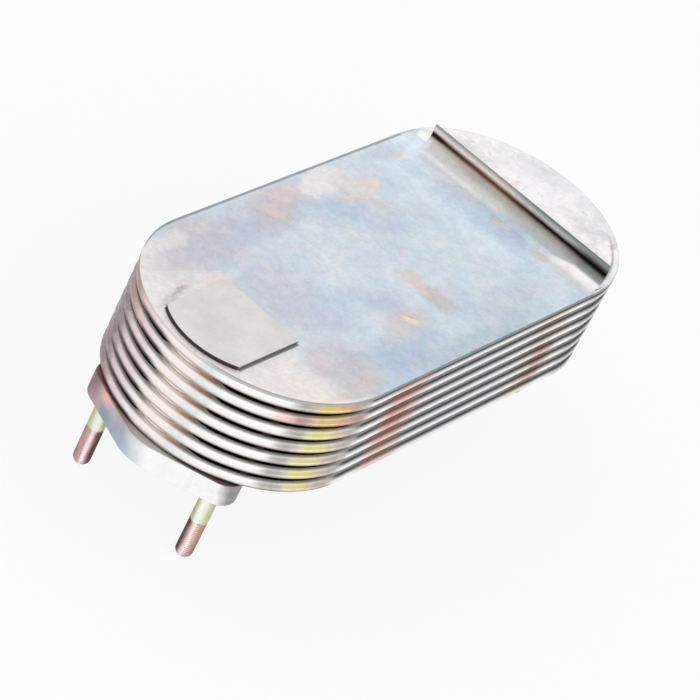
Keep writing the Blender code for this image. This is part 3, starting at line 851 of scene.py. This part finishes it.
def copies(template, names, rises, finish, slot, nodes):
    """Copies of a template mesh at several levels, each mesh in its true place."""
    for name, rise, node in zip(names, rises, nodes):
        mesh = template.data.copy()
        mesh.transform(Matrix.Translation((0, 0, rise)))
        dress(add_item(name, mesh), finish, slot, node)
    bpy.data.objects.remove(template)


def soften(item, width, segments=2, angle=50):
    edge = item.modifiers.new("edge", "BEVEL")
    edge.width = width
    edge.segments = segments
    edge.limit_method = "ANGLE"
    edge.angle_limit = math.radians(angle)


def thicken(item, thickness):
    """Give an open sheet its thickness, in from its outer face."""
    sheet = item.modifiers.new("sheet", "SOLIDIFY")
    sheet.thickness = thickness
    sheet.offset = -1
    sheet.use_even_offset = True


def build_elements(shell_finish, base_finish):
    bm = prism(stadium(CORE_RADIUS), 0, ELEMENT_HEIGHT)
    for level, reach in ((ELEMENT_HEIGHT, RIM_RADIUS), (0, HEM_ROUND)):
        rims = [edge for edge in bm.edges
                if all(abs(vert.co.z - level) < SAME_PLACE for vert in edge.verts)]
        bmesh.ops.bevel(bm, geom=rims, offset=reach, offset_type="OFFSET", segments=RIM_STEPS,
                        profile=0.5, affect="EDGES")
    floor = min(bm.faces, key=lambda face: face.calc_center_median().z)
    bmesh.ops.inset_region(bm, faces=[floor], thickness=RIM_RADIUS - HEM_ROUND)
    bmesh.ops.delete(bm, geom=[floor], context="FACES")
    shell = item_of(bm, "shell_template")
    thicken(shell, SHELL_SHEET)
    base = item_of(prism(stadium(BASE_RADIUS), BASE_RISE, BASE_RISE + BASE_SHEET), "base_template")
    tools = [column(f"bore{side}", PORT_RADIUS, -TOOL_MARGIN, ELEMENT_HEIGHT + TOOL_MARGIN,
                    side * PORT_X, 0) for side in (-1, 1)]
    for tool in tools:
        shape_with(shell, tool)
        shape_with(base, tool)
    settle(shell)
    settle(base, tools)
    numbers = range(1, ELEMENT_COUNT + 1)
    rises = [CORE_BOTTOM + (ELEMENT_COUNT - number) * PITCH for number in numbers]
    copies(shell, [f"rib_{n}" for n in numbers], rises, shell_finish, "shell_plating",
           [f"element_{n}_shell" for n in numbers])
    copies(base, [f"base_{n}" for n in numbers], rises, base_finish, "base_plating",
           [f"element_{n}_base" for n in numbers])


def ring_at(bm, x, y, height, radii):
    """Ring of points about an upright axis, one for each radius."""
    turns = [math.tau * step / len(radii) for step in range(len(radii))]
    return [bm.verts.new((x + radius * math.cos(turn), y + radius * math.sin(turn), height))
            for radius, turn in zip(radii, turns)]


def skin(bm, first, second):
    """Faces between two rings of points, one of which may be a single point."""
    count = max(len(first), len(second))
    for step in range(count):
        after = (step + 1) % count
        corners = [first[step % len(first)], second[step % len(second)],
                   second[after % len(second)], first[after % len(first)]]
        bm.faces.new(list(dict.fromkeys(corners)))


def turned(name, profile, x):
    """Turned piece about an upright axis at y = 0. The profile is (radius, height), and closed."""
    bm = bmesh.new()
    rings = [ring_at(bm, x, 0, height, [radius] * (ROUND_STEPS if radius else 1))
             for radius, height in profile]
    pairs = list(zip(rings, rings[1:]))
    if profile[0][0] > 0:
        pairs.append((rings[-1], rings[0]))
    for pair in pairs:
        skin(bm, *pair)
    bmesh.ops.recalc_face_normals(bm, faces=bm.faces)
    return item_of(bm, name)


def build_rings(finish):
    for side, word in ((-1, "near"), (1, "far")):
        for number in range(1, ELEMENT_COUNT):
            node = f"{word}_port_ring_{number}"
            low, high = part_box(node)
            profile = [(PORT_RADIUS, high.z), (RING_RADIUS, high.z), (RING_RADIUS, low.z),
                       (PORT_RADIUS, low.z)]
            item = settle(turned(f"{word}_spacer_{number}", profile, side * PORT_X))
            dress(item, finish, "ring_steel", node)


def lip_ends():
    """Places across the cover where the lip's foot ends, on its right and on its left."""
    half = math.sqrt(CORE_RADIUS ** 2 - (LIP_BACK_X - END_ARC_X) ** 2)
    return LIP_RIGHT_MARGIN - LIP_END_SLANT - half, half - LIP_LEFT_MARGIN - LIP_END_SLANT


def build_cover(finish):
    """Cover sheet with a slot at each end of the lip, which sweeps up out of it."""
    bend_start = LIP_BACK_X - COVER_SHEET - LIP_RADIUS
    right, left = lip_ends()
    root = bend_start - RELIEF_SLOT
    slots = [(LIP_BACK_X, right - RELIEF_SLOT), (root, right - RELIEF_SLOT), (root, right),
             (bend_start, right), (bend_start, left), (root, left),
             (root, left + RELIEF_SLOT), (LIP_BACK_X, left + RELIEF_SLOT)]
    kept = keep_side(stadium(CORE_RADIUS), LIP_BACK_X, -1)
    lowest = min(range(len(kept)), key=lambda index: (-kept[index][0], kept[index][1]))
    bm = bmesh.new()
    outline = kept[:lowest + 1] + slots + kept[lowest + 1:]
    flat = [bm.verts.new((x, y, COVER_TOP)) for x, y in outline]
    bm.faces.new(flat)
    row = [next(vert for vert in flat if abs(vert.co.x - bend_start) < SAME_PLACE
                and abs(vert.co.y - end) < SAME_PLACE) for end in (right, left)]
    for step in range(1, LIP_STEPS + 2):
        turn = math.radians(90) * min(step, LIP_STEPS) / LIP_STEPS
        rise = LIP_RADIUS * (1 - math.cos(turn)) if step <= LIP_STEPS else LIP_RISE
        slant = LIP_END_SLANT * rise / LIP_RISE
        reach = bend_start + LIP_RADIUS * math.sin(turn)
        raised = [bm.verts.new((reach, end + slant, COVER_TOP + rise)) for end in (right, left)]
        bm.faces.new((row[0], raised[0], raised[1], row[1]))
        row = raised
    item = item_of(bm, "cover_sheet")
    thicken(item, COVER_SHEET)
    soften(item, COVER_EDGE_ROUND, angle=60)
    dress(settle(item), finish, "cover_plating", "cover_plate")


def build_end_plate(finish):
    seam_x = LIP_BACK_X + FIT_GAP / 3
    outline = keep_side(stadium(CORE_RADIUS), seam_x, 1)
    item = item_of(prism(outline, COVER_TOP - COVER_SHEET, COVER_TOP), "end_sheet")
    right, left = lip_ends()
    reach = LIP_BACK_X - UNDER_LIP
    joined = seam_x + TOOL_MARGIN
    corners = [(reach, right + FIT_GAP), (joined, right + FIT_GAP), (joined, left - FIT_GAP),
               (reach, left - FIT_GAP)]
    tongue = item_of(prism(corners, COVER_TOP - COVER_SHEET, COVER_TOP), "tongue")
    shape_with(item, tongue, "UNION")
    soften(item, SHEET_EDGE_ROUND)
    dress(settle(item, [tongue]), finish, "end_plating", "end_plate")


def build_pad(finish):
    half_angle = math.asin(PAD_HIGH.y / PAD_NOSE_RADIUS)
    outline = [(PAD_HIGH.x, -PAD_HIGH.y), (PAD_HIGH.x, PAD_HIGH.y)]
    for step in range(PAD_STEPS + 1):
        turn = half_angle * (1 - 2 * step / PAD_STEPS)
        outline.append((PAD_LOW.x + PAD_NOSE_RADIUS * (1 - math.cos(turn)),
                        PAD_NOSE_RADIUS * math.sin(turn)))
    item = item_of(prism(outline, PAD_LOW.z, PAD_HIGH.z), "pad_sheet")
    soften(item, SHEET_EDGE_ROUND)
    dress(settle(item), finish, "pad_plating", "locating_pad")


def flange_outline(x):
    """Two-bolt outline: a middle round and two ear rounds joined by their common tangents."""
    tangent = math.acos((FLANGE_RADIUS - EAR_RADIUS) / STUD_Y)
    points = []
    for side in (1, -1):
        for step in range(FLANGE_STEPS + 1):
            turn = tangent * (2 * step / FLANGE_STEPS - 1)
            points.append((x - side * EAR_RADIUS * math.sin(turn),
                           side * (STUD_Y + EAR_RADIUS * math.cos(turn))))
        for step in range(FLANGE_STEPS + 1):
            turn = tangent + (math.pi - 2 * tangent) * step / FLANGE_STEPS
            points.append((x - side * FLANGE_RADIUS * math.sin(turn),
                           side * FLANGE_RADIUS * math.cos(turn)))
    return points


def build_flanges(finish):
    top = FLANGE_BOTTOM + FLANGE_THICKNESS
    seat = top + BASE_RISE
    above = seat + TOOL_MARGIN
    below = FLANGE_BOTTOM - TOOL_MARGIN
    bore_profile = [(0, above), (PORT_RADIUS, above), (PORT_RADIUS, FLANGE_BOTTOM + BORE_CHAMFER),
                    (PORT_RADIUS + BORE_CHAMFER + TOOL_MARGIN, below), (0, below)]
    for side, word in ((-1, "near"), (1, "far")):
        x = side * PORT_X
        item = item_of(prism(flange_outline(x), FLANGE_BOTTOM, top), f"{word}_port_flange")
        soften(item, FLANGE_EDGE_ROUND, segments=3, angle=60)
        boss = column("boss", RING_RADIUS, top - TOOL_MARGIN, seat, x, 0)
        shape_with(item, boss, "UNION")
        bore = turned("bore", bore_profile, x)
        tools = [boss, bore]
        shape_with(item, bore)
        for hand in (-1, 1):
            socket = column("socket", STUD_RADIUS + FIT_GAP, below, STUD_TOP + FIT_GAP, x,
                            hand * STUD_Y)
            shape_with(item, socket)
            tools.append(socket)
        dress(settle(item, tools), finish, "flange_plating", f"{word}_flange")


def stud_radius(height, turn):
    """Rolled thread up to the plain shank, with a domed tip."""
    wave = (height / THREAD_PITCH - turn / math.tau) % 1
    groove = THREAD_DEPTH * (1 - abs(2 * wave - 1))
    fade = min(1.0, max(0.0, (THREAD_END - height) / THREAD_RUNOUT))
    tip = min(1.0, height / TIP_DOME)
    dome = math.sqrt(1 - (1 - tip) ** 2)
    return STUD_RADIUS * (TIP_FLAT + (1 - TIP_FLAT) * dome) - groove * fade * tip


def build_studs(finish):
    threaded = int(THREAD_END / THREAD_PITCH * ROWS_PER_THREAD)
    heights = [THREAD_END * row / threaded for row in range(threaded + 1)]
    heights += [THREAD_END + SHANK_RISE, STUD_TOP - HEAD_CHAMFER, STUD_TOP]
    for side, word in ((-1, "near"), (1, "far")):
        for hand, label in ((-1, "right"), (1, "left")):
            bm = bmesh.new()
            rings = []
            for height in heights:
                shrink = HEAD_CHAMFER if height == STUD_TOP else 0.0
                radii = [stud_radius(height, math.tau * step / STUD_STEPS) - shrink
                         for step in range(STUD_STEPS)]
                rings.append(ring_at(bm, side * PORT_X, hand * STUD_Y, height, radii))
            for pair in zip(rings, rings[1:]):
                skin(bm, *pair)
            bm.faces.new(rings[0])
            bm.faces.new(rings[-1])
            bmesh.ops.recalc_face_normals(bm, faces=bm.faces)
            item = settle(item_of(bm, f"{word}_threaded_stud_{label}"))
            dress(item, finish, "stud_plating", f"{word}_stud_{label}")


# Stage


def build_camera():
    data = bpy.data.cameras.new("camera")
    data.lens = CAMERA_LENS
    data.sensor_width = 36
    data.clip_start = 0.01
    data.clip_end = 100
    item = add_item("camera", data)
    look = (CAMERA_AIM - CAMERA_PLACE).to_track_quat("-Z", "Y").to_matrix().to_4x4()
    item.matrix_world = (Matrix.Translation(CAMERA_PLACE) @ look
                         @ Matrix.Rotation(math.radians(CAMERA_ROLL), 4, "Z"))
    bpy.context.scene.camera = item


def ray_kinds(tree):
    """Whether a ray comes from the camera, and whether it comes from a mirror or glass."""
    rays = tree.nodes.new("ShaderNodeLightPath").outputs
    return rays["Is Camera Ray"], larger(tree, rays["Is Glossy Ray"], rays["Is Transmission Ray"])


def build_floor():
    bm = bmesh.new()
    bmesh.ops.create_grid(bm, x_segments=1, y_segments=1, size=FLOOR_HALF)
    item = item_of(bm, "floor")
    made, tree, shader = material("floor_white")[:3]
    shader.inputs["Base Color"].default_value = (0.9, 0.9, 0.9, 1)
    finish_shader(shader, 0.0, 0.9, 0.0)
    glow = tree.nodes.new("ShaderNodeEmission")
    seen, mirrored = ray_kinds(tree)
    share = larger(tree, times(tree, seen, FLOOR_SEEN), times(tree, mirrored, FLOOR_MIRRORED))
    mix = tree.nodes.new("ShaderNodeMixShader")
    tree.links.new(share, mix.inputs[0])
    tree.links.new(shader.outputs[0], mix.inputs[1])
    tree.links.new(glow.outputs[0], mix.inputs[2])
    tree.links.new(mix.outputs[0], tree.nodes["Material Output"].inputs["Surface"])
    item.data.materials.append(made)


def build_world():
    world = bpy.data.worlds.new("studio")
    bpy.context.scene.world = world
    world.use_nodes = True
    tree = world.node_tree
    seen, mirrored = ray_kinds(tree)
    white = times(tree, larger(tree, seen, mirrored), 1 - WORLD_LIGHT)
    shade = tree.nodes["Background"].inputs
    shade["Color"].default_value = (1, 1, 1, 1)
    tree.links.new(plus(tree, WORLD_LIGHT, white), shade["Strength"])


def build_lamp(name, place, aim, size, power):
    data = bpy.data.lights.new(name, "AREA")
    data.shape = "SQUARE"
    data.size = size
    data.energy = power
    item = add_item(name, data)
    item.location = place
    item.rotation_euler = (Vector(aim) - Vector(place)).to_track_quat("-Z", "Y").to_euler()


def main():
    build_camera()
    shell_zinc = shell_plating()
    base_steel = plain_steel("base_plating_steel", (120, 114, 110), (160, 152, 146), 0.4)
    build_elements(shell_zinc, base_steel)
    # The spacer rings are coloured near white: painted light in the shaded water gaps
    build_rings(plain_steel("ring_steel_painted_light", (250, 236, 226), (255, 246, 240), 0.5, 0.2))
    build_cover(cover_plating())
    build_end_plate(end_plating())
    build_pad(pad_plating())
    build_flanges(flange_plating())
    build_studs(stud_plating())
    # The fin sheets keep their solids
    fins = plain_steel("fin_steel_folded", (112, 106, 102), (148, 142, 138), 0.45)
    for number in range(1, ELEMENT_COUNT + 1):
        coat(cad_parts[f"element_{number}_turbulator"], fins)
    build_floor()
    build_world()
    build_lamp("softbox_front", place=(-1.5, -1.6, 1.7), aim=(0, 0, 0.1), size=1.8, power=10)
    bpy.context.scene.view_settings.view_transform = "Standard"


main()
